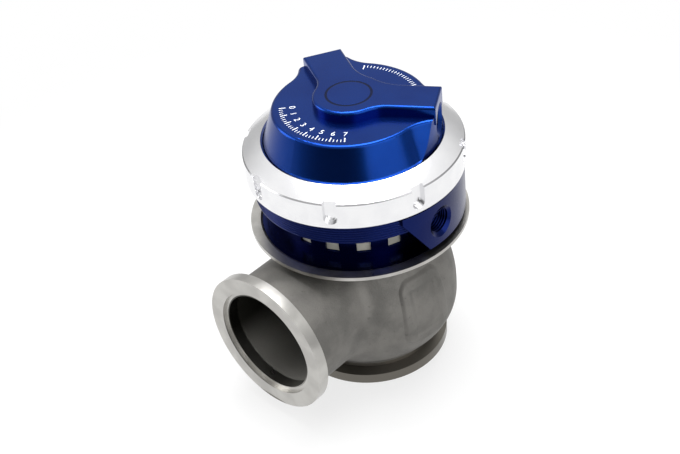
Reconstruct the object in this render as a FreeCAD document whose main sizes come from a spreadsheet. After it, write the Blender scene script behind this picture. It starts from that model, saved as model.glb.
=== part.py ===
# External exhaust wastegate of the 40 mm class: a cast valve housing with V-band flanges, a poppet
# valve, and a diaphragm actuator held by a slotted locking collar.
# Frame: +Z up the valve axis, origin at the centre of the inlet face, outlet along -Y. Millimetres.
import FreeCAD, Part
import Sketcher
import math
import os
import re

V = FreeCAD.Vector
os.makedirs("parts", exist_ok=True)
doc = FreeCAD.newDocument("wastegate")

# ---------------------------------------------------------------- driving dimensions
SIZES = {
    # cast valve housing
    "inlet_rim_r": 28.9, "inlet_rim_band": 3.9, "inlet_neck_r": 25.6, "inlet_neck_top": 6.9,
    "vband_angle": 20.0,
    "casting_r": 33.2, "casting_foot_r": 27.0, "casting_foot_rise": 1.9, "casting_belly": 17.1,
    "casting_low": 22.0, "casting_high": 25.0, "casting_crown": 41.3,
    "neck_r": 26.5, "neck_level": 47.5,
    "dish_r": 38.65, "dish_edge": 1.3, "lip_top": 58.3, "lip_width": 3.4, "dish_depth": 2.3,
    "dish_slope": 3.6,
    "outlet_level": 31.8, "outlet_reach": 52.5, "outlet_rim_r": 26.0, "outlet_rim_band": 3.9,
    "outlet_pipe_r": 22.4, "outlet_bore_r": 18.6, "outlet_step_r": 20.4, "outlet_step": 1.2,
    "pipe_blend": 7.0, "chamber_r": 28.0, "chamber_low": 19.0, "chamber_high": 33.0,
    "chamber_roof": 46.5, "outlet_bend": 28.0,
    "guide_boss_r": 10.5, "guide_boss_low": 37.0,
    # valve, seat and guide
    "seat_bore_r": 18.5, "seat_outer_r": 22.5, "seat_tall": 8.0, "seat_land": 2.0,
    "seat_ledge": 1.0, "valve_margin": 1.4, "valve_land": 1.5, "stem_r": 4.0,
    "tulip_top": 18.0, "thread_r": 3.0, "guide_r": 6.5, "guide_low": 34.5,
    "guide_flange_r": 9.0, "guide_flange": 1.2, "valve_lift": 10.0,
    # actuator base
    "gasket_thick": 1.0, "gasket_bore_r": 10.5, "waist_r": 27.5, "waist_wall": 3.0,
    "flange_sunk": 0.35, "flange_gap": 0.25, "flange_band": 1.6, "flange_step": 0.3,
    "waist_top": 66.2, "base_thread_r": 35.5, "thread_low": 70.4, "floor_low": 65.0,
    "floor_top": 69.5, "chamber_wall_r": 27.5, "base_rim": 82.3,
    "port_boss_r": 37.5, "port_boss_low": 60.6, "port_boss_top": 77.6,
    "boss_end_low": 9.0, "boss_end_top": 24.5,
    "window_wide": 4.8, "window_tall": 4.2, "window_low": 60.0, "window_pitch": 22.5,
    "port_r": 4.4, "port_deep": 8.2, "port_mouth_r": 5.9, "port_mouth": 1.2,
    "port_level": 69.0, "port_pitch": 45.0, "feed_r": 1.5, "feed_level": 71.6,
    "screw_circle_r": 18.0, "screw_r": 2.5, "screw_head_r": 4.25, "screw_head": 4.8,
    "screw_length": 15.0, "screw_socket_r": 2.3, "screw_socket": 2.5, "pillar_r": 7.0,
    "washer_r": 4.9, "washer_thick": 1.0,
    # stem seal in the base floor
    "seal_boss_r": 9.5, "seal_boss_low": 61.0, "seal_boss_top": 70.6, "seal_lip": 1.5,
    "bush_r": 6.5, "bush_tall": 3.5, "ring_wire_r": 1.15, "seal_washer": 0.9,
    "circlip_thick": 0.8, "circlip_groove": 0.6, "circlip_wide": 1.3, "circlip_gap": 4.0,
    # diaphragm stack and springs
    "plate_r": 21.0, "plate_thick": 2.0, "plate_low": 71.2, "diaphragm_thick": 1.2,
    "diaphragm_rim_r": 33.6, "diaphragm_rim": 1.5, "piston_r": 20.6, "piston_floor": 2.2,
    "piston_wall": 1.6, "piston_tall": 6.0, "nut_washer_r": 6.0, "nut_washer": 1.0,
    "nut_r": 5.77, "nut_tall": 5.0, "nut_collar_r": 4.4, "nut_collar": 1.2, "stem_proud": 1.6,
    "outer_coil_r": 16.0, "outer_wire_r": 1.4, "outer_turns": 4.5,
    "inner_coil_r": 9.6, "inner_wire_r": 1.0, "inner_turns": 6.0,
    # top cap
    "cap_rim_r": 35.1, "cap_rim": 2.4, "cap_wall_r": 30.4, "shoulder_r": 26.2,
    "shoulder_top": 102.0, "plateau_top": 105.5, "cap_crown": 5.0, "cap_bore_r": 27.2,
    "spring_room_r": 22.0, "spring_room_low": 91.4, "stop_r": 7.4, "stop_gap": 1.7,
    "hub_r": 12.3, "arm_wide": 14.0, "arm_reach": 30.0, "arm_blend": 11.0, "crotch_blend": 16.0,
    "arm_ledge": 1.7, "flare_r": 14.0, "cap_foot": 0.8, "plateau_sink": 3.0,
    "cap_port_level": 96.6, "cap_port_deep": 7.2, "shoulder_round": 1.3, "plateau_round": 1.0,
    # locking collar
    "collar_wall": 2.13, "collar_low": 77.93, "collar_wall_top": 87.6, "collar_top": 90.7,
    "collar_edge": 0.35, "collar_lip_edge": 0.6,
    "slot_wide": 4.7, "slot_low": 79.9, "slot_floor": 0.75, "slot_drill_r": 1.5, "slot_drill_end": 0.3,
    "slots": 8, "slot_turn": 30.0, "collar_chamfer": 0.5,
    # fits between pieces
    "slip": 0.05, "thread_gap": 0.3, "collar_gap": 0.3, "seat_gap": 0.3, "clamp_gap": 0.1,
}

sheet = doc.addObject("Spreadsheet::Sheet", "Sizes")
for row, (alias, size) in enumerate(SIZES.items(), start=1):
    sheet.set(f"A{row}", alias)
    sheet.set(f"B{row}", str(size))
    sheet.setAlias(f"B{row}", alias)
doc.recompute()

# Levels and radii that follow from the driving dimensions.
DERIVED = {
    "dish_floor": "(lip_top - dish_depth)",
    "lip_inner_r": "(dish_r - lip_width)",
    "dish_floor_r": "(lip_inner_r - dish_slope)",
    "inlet_cone_top": "(inlet_rim_band + (inlet_rim_r - inlet_neck_r) * tan(vband_angle * 1deg))",
    "outlet_cone": "((outlet_rim_r - outlet_pipe_r) * tan(vband_angle * 1deg))",
    "seat_pocket_r": "(seat_outer_r + slip)",
    "seat_ledge_r": "(seat_outer_r - seat_ledge)",
    "guide_bore_r": "(guide_r + slip / 2)",
    "stem_bore_r": "(stem_r + slip)",
    "thread_bore_r": "(thread_r + slip)",
    "seat_low": "(seat_tall - seat_land)",
    "valve_drop": "(seat_gap * sqrt(2))",
    "valve_face": "(seat_low + valve_drop + valve_land / 3)",
    "valve_face_r": "(seat_bore_r + valve_land / 3)",
    "valve_r": "(valve_face_r + valve_land)",
    "valve_edge": "(valve_face + valve_land)",
    "base_low": "(dish_floor + gasket_thick)",
    "waist_inner_r": "(waist_r - waist_wall)",
    "flange_top": "(lip_top - flange_sunk)",
    "flange_slope": "(dish_slope / dish_depth)",
    "flange_low_r": "(dish_floor_r + gasket_thick * flange_slope - flange_gap)",
    "flange_r": "(flange_low_r + (flange_top - base_low) * flange_slope)",
    "gasket_r": "(dish_floor_r - flange_gap)",
    "head_seat": "(floor_top - screw_head - washer_thick)",
    "head_well_r": "(washer_r + 0.3)",
    "screw_tip": "(head_seat + washer_thick - screw_length)",
    "screw_hole_r": "(screw_r + slip)",
    "bush_low": "(seal_boss_low + seal_lip)",
    "bush_top": "(bush_low + bush_tall)",
    "ring_level": "(bush_top + ring_wire_r + slip)",
    "washer_low": "(ring_level + ring_wire_r + slip)",
    "circlip_low": "(washer_low + seal_washer + slip)",
    "diaphragm_low": "(plate_low + plate_thick)",
    "piston_low": "(diaphragm_low + diaphragm_thick)",
    "spring_low": "(piston_low + piston_floor)",
    "skirt_r": "(piston_r + 0.3)",
    "nut_low": "(spring_low + nut_washer)",
    "stem_top": "(nut_low + nut_tall + stem_proud)",
    "cap_low": "(base_rim + diaphragm_rim + clamp_gap)",
    "cap_rim_top": "(cap_low + cap_rim)",
    "ceiling": "(plateau_top - cap_crown)",
    "collar_bore_r": "(base_thread_r + thread_gap)",
    "collar_r": "(collar_bore_r + collar_wall)",
    "slot_floor_r": "(collar_bore_r + slot_floor)",
    "stop_low": "(stem_top + valve_lift + stop_gap)",
    "collar_lip_r": "(cap_wall_r + collar_gap)",
    "lip_low": "(cap_rim_top + collar_gap)",
}
ORIGIN_POINT = (-1, 1)
WORD = re.compile(r"[a-z_]+[a-z]")


def spelled(text):
    """An expression with derived names opened out and driving names pointed at the sheet."""
    def swap(match):
        word = match.group(0)
        if word in DERIVED:
            return WORD.sub(swap, DERIVED[word])
        return f"Sizes.{word}" if word in SIZES else word
    return WORD.sub(swap, str(text))


def number(text):
    """The present value of an expression."""
    found = sheet.evalExpression(spelled(text))
    return float(getattr(found, "Value", found))


def bind(item, **places):
    """Bind properties of a document object to the sheet."""
    for place, text in places.items():
        item.setExpression(place.replace("__", "."), spelled(text))


# ---------------------------------------------------------------- modelling helpers
def body(label):
    """An empty PartDesign body whose label names its node."""
    made = doc.addObject("PartDesign::Body", label)
    made.Label = label
    return made


def origin_feature(owner, role):
    return next(item for item in owner.Origin.OriginFeatures if item.Role == role)


def sketch_on(owner, name, role, x="0", y="0", z="0", turn=None):
    """A sketch on one of the body's origin planes, moved (and turned about its own Y) by expressions."""
    drawn = owner.newObject("Sketcher::SketchObject", name)
    drawn.AttachmentSupport = [(origin_feature(owner, role), "")]
    drawn.MapMode = "FlatFace"
    if turn is not None:
        drawn.AttachmentOffset = FreeCAD.Placement(V(0, 0, 0), FreeCAD.Rotation(V(0, 1, 0), 1))
        bind(drawn, AttachmentOffset__Rotation__Angle=f"({turn}) * 1deg")
    for axis, text in zip("xyz", (x, y, z)):
        if text != "0":
            bind(drawn, **{f"AttachmentOffset__Base__{axis}": text})
    return drawn


def radial_sketch(owner, name, turn, radius, level):
    """A sketch that faces outwards at an angle from +X about the valve axis."""
    return sketch_on(owner, name, "YZ_Plane", x=f"({radius}) * sin(({turn}) * 1deg)", y=level,
                     z=f"({radius}) * cos(({turn}) * 1deg)", turn=turn)


def dimension(drawn, kind, *where, text):
    """Add a dimensional constraint whose value follows an expression."""
    size = number(text)
    index = drawn.addConstraint(Sketcher.Constraint(kind, *where, abs(size)))
    drawn.setExpression(f"Constraints[{index}]", spelled(text if size >= 0 else f"-({text})"))


def pin_point(drawn, geometry, end, x, y):
    """Fix a point of the sketch at (x, y)."""
    for kind, text, axis in (("DistanceX", x, -2), ("DistanceY", y, -1)):
        size = number(text)
        if abs(size) < 1e-9:
            drawn.addConstraint(Sketcher.Constraint("PointOnObject", geometry, end, axis))
        elif size > 0:
            dimension(drawn, kind, *ORIGIN_POINT, geometry, end, text=text)
        else:
            dimension(drawn, kind, geometry, end, *ORIGIN_POINT, text=text)


def arc_between(start, end, radius):
    """The short arc from start to end: anticlockwise for a positive radius, clockwise for a negative one."""
    side = 1 if radius > 0 else -1
    along = end - start
    across = V(-along.y, along.x, 0).normalize() * side
    height = math.sqrt(max(radius ** 2 - along.Length ** 2 / 4, 0))
    centre = (start + end) / 2 + across * height
    first, last = (start, end) if side > 0 else (end, start)
    low = math.atan2(first.y - centre.y, first.x - centre.x)
    high = math.atan2(last.y - centre.y, last.x - centre.x)
    if high < low:
        high += 2 * math.pi
    return Part.ArcOfCircle(Part.Circle(centre, V(0, 0, 1), abs(radius)), low, high)


def outline(drawn, points):
    """A closed outline through points (x, y) or (x, y, radius of the arc to the next point)."""
    places = [V(number(point[0]), number(point[1]), 0) for point in points]
    ends = []
    for index, point in enumerate(points):
        start, end = places[index], places[(index + 1) % len(places)]
        if len(point) > 2:
            radius = number(point[2])
            line = drawn.addGeometry(arc_between(start, end, radius), False)
            ends.append((line, 1, 2) if radius > 0 else (line, 2, 1))
            dimension(drawn, "Radius", line, text=f"abs({point[2]})")
        else:
            line = drawn.addGeometry(Part.LineSegment(start, end), False)
            ends.append((line, 1, 2))
    for index, point in enumerate(points):
        line, first, _ = ends[index]
        before, _, last = ends[index - 1]
        drawn.addConstraint(Sketcher.Constraint("Coincident", before, last, line, first))
        pin_point(drawn, line, first, point[0], point[1])


def circle(drawn, radius, x="0", y="0"):
    """A circle with its centre at (x, y)."""
    centre = V(number(x), number(y), 0)
    ring = drawn.addGeometry(Part.Circle(centre, V(0, 0, 1), number(radius)), False)
    dimension(drawn, "Radius", ring, text=radius)
    if abs(centre.x) < 1e-9 and abs(centre.y) < 1e-9:
        drawn.addConstraint(Sketcher.Constraint("Coincident", ring, 3, *ORIGIN_POINT))
    else:
        pin_point(drawn, ring, 3, x, y)


def rectangle(drawn, wide, low, high):
    """An upright rectangle centred on the sketch's Y axis."""
    outline(drawn, [(f"-{wide} / 2", low), (f"{wide} / 2", low), (f"{wide} / 2", high),
                    (f"-{wide} / 2", high)])


def turned(owner, name, points, cut=False, role="XZ_Plane", axis="V_Axis", level="0", turn=None):
    """Material (or a cut) turned about the valve axis, or about the sketch's X axis raised by level."""
    drawn = sketch_on(owner, f"{name}_outline", role, y=level, turn=turn)
    outline(drawn, points)
    made = owner.newObject("PartDesign::Groove" if cut else "PartDesign::Revolution", name)
    made.Profile = drawn
    made.ReferenceAxis = (drawn, [axis])
    made.Angle = 360
    drawn.Visibility = False
    return made


def pushed(owner, name, drawn, length, cut=False, outwards=True):
    """Pad or pocket a sketch over a length; a pocket runs against the sketch's normal."""
    made = owner.newObject("PartDesign::Pocket" if cut else "PartDesign::Pad", name)
    made.Profile = drawn
    bind(made, Length=length)
    made.Reversed = not outwards
    return made


def polar(owner, name, original, count, extent="360"):
    """Copies of a feature about the valve axis."""
    made = owner.newObject("PartDesign::PolarPattern", name)
    made.Originals = [original]
    made.Axis = (origin_feature(owner, "Z_Axis"), [""])
    bind(made, Angle=extent, Occurrences=count)
    owner.Tip = made
    return made


def mirrored(owner, name, original):
    """The same feature on the other side of the outlet's upright plane."""
    made = owner.newObject("PartDesign::Mirrored", name)
    made.Originals = [original]
    made.MirrorPlane = (origin_feature(owner, "YZ_Plane"), [""])
    owner.Tip = made
    return made


def rounded(owner, name, base, wanted, radius):
    """Fillet the edges of a feature that the test picks."""
    doc.recompute()
    picked = [f"Edge{index}" for index, edge in enumerate(base.Shape.Edges, start=1) if wanted(edge)]
    made = owner.newObject("PartDesign::Fillet", name)
    made.Base = (base, picked)
    bind(made, Radius=radius)
    owner.Tip = made
    return made


def ring(label, inner, outer, low, high):
    """A plain washer or plate as a body of its own."""
    owner = body(label)
    turned(owner, f"{label}_ring", [(inner, low), (outer, low), (outer, high), (inner, high)])
    return owner


# ---------------------------------------------------------------- valve housing
def make_housing():
    """One casting: inlet flange, bulbous body, neck and dish, with the outlet pipe let into its side."""
    owner = body("valve_housing")
    turned(owner, "trunk", [
        ("0", "0"), ("inlet_rim_r", "0"), ("inlet_rim_r", "inlet_rim_band"),
        ("inlet_neck_r", "inlet_cone_top"), ("inlet_neck_r", "inlet_neck_top"),
        ("casting_foot_r", "inlet_neck_top + casting_foot_rise", "casting_belly"),
        ("casting_r", "casting_low"), ("casting_r", "casting_high", "casting_crown"),
        ("neck_r", "neck_level", "-dish_r / 3"),
        ("dish_floor_r + dish_slope / 2", "lip_top - dish_edge - 1"),
        ("dish_r", "lip_top - dish_edge"), ("dish_r", "lip_top"), ("lip_inner_r", "lip_top"),
        ("dish_floor_r", "dish_floor"), ("0", "dish_floor")])
    pipe = turned(owner, "outlet_pipe", [
        ("-outlet_reach", "0"), ("-outlet_reach", "outlet_rim_r"),
        ("-(outlet_reach - outlet_rim_band)", "outlet_rim_r"),
        ("-(outlet_reach - outlet_rim_band - outlet_cone)", "outlet_pipe_r"),
        ("-neck_r / 2", "outlet_pipe_r"), ("-neck_r / 2", "0")],
        role="YZ_Plane", axis="H_Axis", level="outlet_level")

    def where_pipe_meets_body(edge):
        box = edge.BoundBox
        return box.YMax < -number("neck_r") / 2 and box.YMin > -number("casting_r") - 0.1 \
            and box.YLength > 0.1 and box.ZMax < number("neck_level") + 0.1

    rounded(owner, "pipe_blend_round", pipe, where_pipe_meets_body, "pipe_blend")
    turned(owner, "chamber", [
        ("0", "0"), ("seat_pocket_r", "0"), ("seat_pocket_r", "seat_tall"),
        ("seat_ledge_r", "seat_tall"), ("seat_ledge_r", "seat_tall + valve_margin", "chamber_r / 2"),
        ("chamber_r", "chamber_low"), ("chamber_r", "chamber_high",
         "chamber_r - guide_boss_r"),
        ("guide_boss_r + 2", "chamber_roof"), ("guide_boss_r", "chamber_roof"),
        ("guide_boss_r", "guide_boss_low"), ("guide_bore_r", "guide_boss_low"),
        ("guide_bore_r", "dish_floor"), ("0", "dish_floor")], cut=True)
    turned(owner, "outlet_bore", [
        ("-outlet_reach", "0"), ("-outlet_reach", "outlet_step_r"),
        ("-(outlet_reach - outlet_step)", "outlet_step_r"),
        ("-(outlet_reach - outlet_step)", "outlet_bore_r"),
        ("-outlet_bend", "outlet_bore_r", "-outlet_bore_r"), ("-(outlet_bend - outlet_bore_r)", "0")],
        cut=True, role="YZ_Plane", axis="H_Axis", level="outlet_level")
    drill = sketch_on(owner, "screw_hole_outline", "XY_Plane", z="dish_floor")
    circle(drill, "screw_hole_r", x="screw_circle_r * sqrt(0.5)", y="screw_circle_r * sqrt(0.5)")
    hole = pushed(owner, "screw_hole", drill, "dish_floor - screw_tip + 1", cut=True)
    polar(owner, "screw_holes", hole, "4")


def make_seat():
    """Hard ring that drops into the inlet face, with a 45 degree land for the valve."""
    owner = body("valve_seat")
    turned(owner, "seat_ring", [
        ("seat_bore_r", "0"), ("seat_outer_r", "0"), ("seat_outer_r", "seat_tall"),
        ("seat_bore_r + seat_land", "seat_tall"), ("seat_bore_r", "seat_low")])


def make_valve():
    """Poppet valve: flat face, 45 degree land, tulip back and a long stem with a threaded end."""
    owner = body("valve")
    turned(owner, "poppet", [
        ("0", "valve_face"), ("valve_face_r", "valve_face"), ("valve_r", "valve_edge"),
        ("valve_r", "valve_edge + valve_margin"),
        ("stem_r * 2", "valve_edge + valve_margin + (tulip_top - valve_edge) / 4",
         "-(tulip_top - valve_edge) * 1.2"),
        ("stem_r", "tulip_top"), ("stem_r", "plate_low"), ("thread_r", "plate_low"),
        ("thread_r", "stem_top"), ("0", "stem_top")])


def make_guide():
    owner = body("valve_guide")
    turned(owner, "guide_sleeve", [
        ("stem_bore_r", "guide_low"), ("guide_r", "guide_low"), ("guide_r", "dish_floor"),
        ("guide_flange_r", "dish_floor"), ("guide_flange_r", "dish_floor + guide_flange"),
        ("stem_bore_r", "dish_floor + guide_flange")])


# ---------------------------------------------------------------- actuator base
def make_gasket():
    owner = ring("heat_gasket", "gasket_bore_r", "gasket_r", "dish_floor", "base_low")
    punch = sketch_on(owner, "gasket_hole_outline", "XY_Plane", z="base_low")
    circle(punch, "screw_r + 0.3", x="screw_circle_r * sqrt(0.5)", y="screw_circle_r * sqrt(0.5)")
    hole = pushed(owner, "gasket_hole", punch, "gasket_thick * 2", cut=True)
    polar(owner, "gasket_holes", hole, "4")


ARM_ANGLES = (30, 150)


def sector(drawn, inner, outer, start, end):
    """A ring sector from start to end degrees, anticlockwise, as four edges."""
    def corner(radius, turn):
        return f"({radius}) * cos(({turn}) * 1deg)", f"({radius}) * sin(({turn}) * 1deg)"
    middle = f"(({start}) + ({end})) / 2"
    outline(drawn, [
        (*corner(inner, start),), (*corner(outer, start), outer), (*corner(outer, middle), outer),
        (*corner(outer, end),), (*corner(inner, end), f"-({inner})"),
        (*corner(inner, middle), f"-({inner})")])


def make_base():
    """Machined cup: windowed waist, port boss round the back, thread for the collar, stem seal boss."""
    owner = body("actuator_base")
    boss = sketch_on(owner, "port_boss_outline", "XY_Plane", z="port_boss_low")
    sector(boss, "waist_r - waist_wall / 2", "port_boss_r", "-boss_end_top", "180 + boss_end_top")
    pushed(owner, "port_boss", boss, "port_boss_top - port_boss_low")
    slant = radial_sketch(owner, "boss_slant_outline", "-boss_end_low", "port_boss_r + 2", "0")
    reach = "port_boss_r * tan((boss_end_top - boss_end_low) * 1deg)"
    outline(slant, [("0", "port_boss_low"), (f"-({reach})", "port_boss_top - 2"),
                    (f"-({reach}) * 1.6", "port_boss_top - 2"), (f"-({reach}) * 1.6", "port_boss_low - 1"),
                    ("0", "port_boss_low - 1")])
    end = pushed(owner, "boss_slant", slant, "port_boss_r - waist_inner_r + 4", cut=True)
    mirrored(owner, "boss_slants", end)
    turned(owner, "cup", [
        ("0", "base_low"), ("flange_low_r", "base_low"), ("flange_r", "flange_top"),
        ("flange_r - flange_band", "flange_top"),
        ("flange_r - flange_band - flange_step", "flange_top - flange_step"),
        ("waist_r", "flange_top - flange_step"),
        ("waist_r", "waist_top", "-(base_thread_r - waist_r) * 1.2"),
        ("base_thread_r", "thread_low"), ("base_thread_r", "base_rim"), ("0", "base_rim")])
    turned(owner, "diaphragm_room", [
        ("0", "seal_boss_top"), ("seal_boss_r", "seal_boss_top"), ("seal_boss_r", "floor_top"),
        ("chamber_wall_r", "floor_top"), ("chamber_wall_r", "base_rim"), ("0", "base_rim")], cut=True)
    turned(owner, "waist_room", [
        ("0", "base_low"), ("waist_inner_r", "base_low"), ("waist_inner_r", "floor_low"),
        ("seal_boss_r", "floor_low"), ("seal_boss_r", "seal_boss_low"), ("0", "seal_boss_low")], cut=True)
    post = sketch_on(owner, "pillar_outline", "XY_Plane", z="base_low")
    circle(post, "pillar_r", x="screw_circle_r * sqrt(0.5)", y="screw_circle_r * sqrt(0.5)")
    pillar = pushed(owner, "pillar", post, "floor_low - base_low + 1")
    polar(owner, "pillars", pillar, "4")
    shank = sketch_on(owner, "base_screw_hole_outline", "XY_Plane", z="floor_top")
    circle(shank, "screw_r + 0.3", x="screw_circle_r * sqrt(0.5)", y="screw_circle_r * sqrt(0.5)")
    hole = pushed(owner, "base_screw_hole", shank, "floor_top - base_low + 1", cut=True)
    polar(owner, "base_screw_holes", hole, "4")
    well = sketch_on(owner, "head_well_outline", "XY_Plane", z="floor_top")
    circle(well, "head_well_r", x="screw_circle_r * sqrt(0.5)", y="screw_circle_r * sqrt(0.5)")
    sink = pushed(owner, "head_well", well, "floor_top - head_seat", cut=True)
    polar(owner, "head_wells", sink, "4")
    turned(owner, "seal_bore", [
        ("0", "seal_boss_low"), ("stem_r + 0.5", "seal_boss_low"), ("stem_r + 0.5", "bush_low"),
        ("bush_r + slip", "bush_low"), ("bush_r + slip", "circlip_low"),
        ("bush_r + circlip_groove", "circlip_low"),
        ("bush_r + circlip_groove", "circlip_low + circlip_thick + slip"),
        ("bush_r + slip", "circlip_low + circlip_thick + slip"), ("bush_r + slip", "seal_boss_top"),
        ("0", "seal_boss_top")], cut=True)
    window = radial_sketch(owner, "window_outline", "-90 - 3 * window_pitch", "waist_r + 1", "window_low")
    rectangle(window, "window_wide", "0", "window_tall")
    opening = pushed(owner, "window", window, "waist_wall + 1.5", cut=True)
    polar(owner, "windows", opening, "7", "6 * window_pitch")
    for index, turn in enumerate(("0", "port_pitch", "180 - port_pitch", "180")):
        drill_port(owner, f"port_{index}", turn, "port_boss_r", "port_level", "port_deep")
        drill_feed(owner, f"feed_{index}", turn, "port_boss_r - port_deep", "feed_level",
                   "chamber_wall_r")


def drill_port(owner, name, turn, face, level, deep):
    """A tapped port drilled towards the axis, with a countersunk mouth."""
    turned(owner, name, [
        (f"{face} - {deep}", "0"), (f"{face} + 1", "0"),
        (f"{face} + 1", "port_mouth_r + (port_mouth_r - port_r) / port_mouth"),
        (f"{face} - port_mouth", "port_r"), (f"{face} - {deep}", "port_r")],
        cut=True, axis="H_Axis", level=level, turn=turn)


def drill_feed(owner, name, turn, port_end, level, room_r):
    """A small passage from the blind end of a port into the room behind it."""
    drawn = radial_sketch(owner, f"{name}_outline", turn, f"{port_end} + 1", level)
    circle(drawn, "feed_r")
    pushed(owner, name, drawn, f"{port_end} - {room_r} + 2", cut=True)


def make_screws():
    """Four cap screws that hold the base down on the casting."""
    owner = body("base_screws")
    owner.AllowCompound = True
    across = {"x": "screw_circle_r * sqrt(0.5)", "y": "screw_circle_r * sqrt(0.5)"}
    shank_outline = sketch_on(owner, "shank_outline", "XY_Plane", z="screw_tip")
    circle(shank_outline, "screw_r", **across)
    shank = pushed(owner, "shank", shank_outline, "screw_length")
    head_outline = sketch_on(owner, "head_outline", "XY_Plane", z="head_seat + washer_thick")
    circle(head_outline, "screw_head_r", **across)
    head = pushed(owner, "head", head_outline, "screw_head")
    socket_outline = sketch_on(owner, "socket_outline", "XY_Plane",
                               z="head_seat + washer_thick + screw_head")
    outline(socket_outline, [
        (f"{across['x']} + screw_socket_r * cos({turn} * 1deg)",
         f"{across['y']} + screw_socket_r * sin({turn} * 1deg)") for turn in range(0, 360, 60)])
    socket = pushed(owner, "socket", socket_outline, "screw_socket", cut=True)
    pattern = polar(owner, "screws_round", shank, "4")
    pattern.Originals = [shank, head, socket]


def make_screw_washers():
    owner = body("base_screw_washers")
    owner.AllowCompound = True
    flat = sketch_on(owner, "washer_outline", "XY_Plane", z="head_seat")
    across = {"x": "screw_circle_r * sqrt(0.5)", "y": "screw_circle_r * sqrt(0.5)"}
    circle(flat, "washer_r", **across)
    circle(flat, "screw_r + 0.2", **across)
    washer = pushed(owner, "washer", flat, "washer_thick")
    polar(owner, "washers_round", washer, "4")


def make_stem_seal():
    """Bush, O-ring, washer and circlip that close the base round the stem."""
    ring("stem_bush", "stem_bore_r", "bush_r", "bush_low", "bush_top")
    owner = body("stem_o_ring")
    drawn = sketch_on(owner, "ring_wire", "XZ_Plane")
    circle(drawn, "ring_wire_r", x="stem_bore_r + ring_wire_r + slip", y="ring_level")
    torus = owner.newObject("PartDesign::Revolution", "ring_turned")
    torus.Profile = drawn
    torus.ReferenceAxis = (drawn, ["V_Axis"])
    torus.Angle = 360
    ring("seal_washer", "stem_r + 0.4", "bush_r", "washer_low", "washer_low + seal_washer")
    clip = body("seal_circlip")
    flat = sketch_on(clip, "circlip_outline", "XY_Plane", z="circlip_low")
    circle(flat, "bush_r + circlip_groove - slip")
    circle(flat, "bush_r + circlip_groove - slip - circlip_wide")
    pushed(clip, "circlip", flat, "circlip_thick")
    gap = sketch_on(clip, "circlip_gap_outline", "XY_Plane", z="circlip_low + circlip_thick")
    rectangle(gap, "circlip_gap", "-bush_r * 1.3", "0")
    pushed(clip, "circlip_opening", gap, "circlip_thick", cut=True)


# ---------------------------------------------------------------- diaphragm stack and springs
def make_diaphragm():
    """Rolling diaphragm: flat centre, sleeve up the piston, one roll, and a clamped rim."""
    owner = body("diaphragm")
    outer = "(skirt_r + diaphragm_thick)"
    crest = "(chamber_wall_r - skirt_r - diaphragm_thick)"
    turned(owner, "moulded", [
        ("thread_bore_r", "diaphragm_low"), ("skirt_r - 1", "diaphragm_low"),
        (outer, "diaphragm_low + diaphragm_thick + 1"), (outer, "base_rim"),
        (f"{outer} + {crest} / 4", f"base_rim + {crest} / 2"),
        (f"{outer} + {crest} * 3 / 4", f"base_rim + {crest} / 2"),
        ("chamber_wall_r", "base_rim"), ("diaphragm_rim_r", "base_rim"),
        ("diaphragm_rim_r", "base_rim + diaphragm_rim"),
        ("chamber_wall_r + diaphragm_thick * 0.6", "base_rim + diaphragm_rim"),
        (f"{outer} + {crest} * 3 / 4 + diaphragm_thick / 2",
         f"base_rim + {crest} / 2 + diaphragm_thick"),
        (f"{outer} + {crest} / 4 - diaphragm_thick / 2",
         f"base_rim + {crest} / 2 + diaphragm_thick"),
        ("skirt_r", "base_rim"), ("skirt_r", "piston_low + 1"),
        ("skirt_r - 1", "piston_low"), ("thread_bore_r", "piston_low")])


def make_piston():
    """Spring cup that clamps the diaphragm's centre and fills its sleeve."""
    owner = body("piston_cup")
    top = "(piston_low + piston_tall)"
    turned(owner, "spring_cup", [
        ("thread_bore_r", "piston_low"), ("piston_r - 1", "piston_low"),
        ("piston_r", "piston_low + 1"), ("piston_r", top), ("piston_r - piston_wall", top),
        ("piston_r - piston_wall", "spring_low"), ("thread_bore_r", "spring_low")])


def make_nut():
    owner = body("stem_nut")
    faces = sketch_on(owner, "nut_outline", "XY_Plane", z="nut_low")
    outline(faces, [(f"nut_r * cos({turn} * 1deg)", f"nut_r * sin({turn} * 1deg)")
                    for turn in range(0, 360, 60)])
    pushed(owner, "nut_block", faces, "nut_tall - nut_collar")
    collar = sketch_on(owner, "nut_collar_outline", "XY_Plane", z="nut_low")
    circle(collar, "nut_collar_r")
    pushed(owner, "nut_lock_collar", collar, "nut_tall")
    bore = sketch_on(owner, "nut_bore_outline", "XY_Plane", z="nut_low + nut_tall")
    circle(bore, "thread_bore_r")
    pushed(owner, "nut_bore", bore, "nut_tall + 1", cut=True)


def make_spring(label, coil, wire, turns):
    """A wire spring between the piston cup and the cap's ceiling; its section has eight flats."""
    owner = body(label)
    section = sketch_on(owner, f"{label}_wire", "XZ_Plane")
    outline(section, [
        (f"{coil} + {wire} * cos({turn} * 1deg)", f"spring_low + {wire} + slip + {wire} * sin({turn} * 1deg)")
        for turn in (22.5 + 45 * side for side in range(8))])
    helix = owner.newObject("PartDesign::AdditiveHelix", f"{label}_coils")
    helix.Profile = section
    helix.ReferenceAxis = (section, ["V_Axis"])
    helix.Mode = "height-turns-angle"
    bind(helix, Height=f"ceiling - spring_low - 2 * ({wire} + slip)", Turns=turns)


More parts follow.
